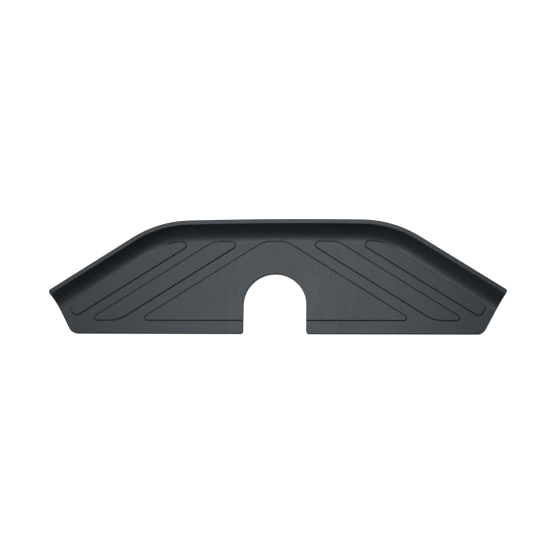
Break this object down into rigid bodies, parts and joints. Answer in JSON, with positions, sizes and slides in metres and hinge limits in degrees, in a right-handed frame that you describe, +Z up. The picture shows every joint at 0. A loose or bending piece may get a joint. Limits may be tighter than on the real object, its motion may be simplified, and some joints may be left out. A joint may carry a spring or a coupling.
{
  "type": "bumper step pad",
  "caption": "Wide ribbed step pad with a raised lip along its front and sloping ends, chevron treads, a round-headed notch in its rear edge, and push-in clips under it.",
  "frame": {"origin": "centre of the rear notch's half circle, at the height of the rim that rests on the bumper", "axes": "+X across the vehicle to the right seen from behind it, +Y forward to the lip, +Z up"},
  "size_m": [0.9232, 0.2324, 0.053],
  "materials": {
    "pad_plastic": "fine leather-grain texture, black thermoplastic olefin",
    "clip_nylon": "natural nylon, smooth",
    "washer_rubber": "matt moulded rubber, faintly dusty"
  },
  "bodies": {
    "root": {"step_pad": "pad_plastic", "clip_rear_inner_left": "clip_nylon", "washer_rear_inner_left": "washer_rubber", "clip_rear_inner_right": "clip_nylon", "washer_rear_inner_right": "washer_rubber", "clip_rear_middle_left": "clip_nylon", "washer_rear_middle_left": "washer_rubber", "clip_rear_middle_right": "clip_nylon", "washer_rear_middle_right": "washer_rubber", "clip_rear_outer_left": "clip_nylon", "washer_rear_outer_left": "washer_rubber", "clip_rear_outer_right": "clip_nylon", "washer_rear_outer_right": "washer_rubber", "clip_front_inner_left": "clip_nylon", "washer_front_inner_left": "washer_rubber", "clip_front_inner_right": "clip_nylon", "washer_front_inner_right": "washer_rubber", "clip_front_middle_left": "clip_nylon", "washer_front_middle_left": "washer_rubber", "clip_front_middle_right": "clip_nylon", "washer_front_middle_right": "washer_rubber", "clip_front_outer_left": "clip_nylon", "washer_front_outer_left": "washer_rubber", "clip_front_outer_right": "clip_nylon", "washer_front_outer_right": "washer_rubber"}
  },
  "joints": []
}
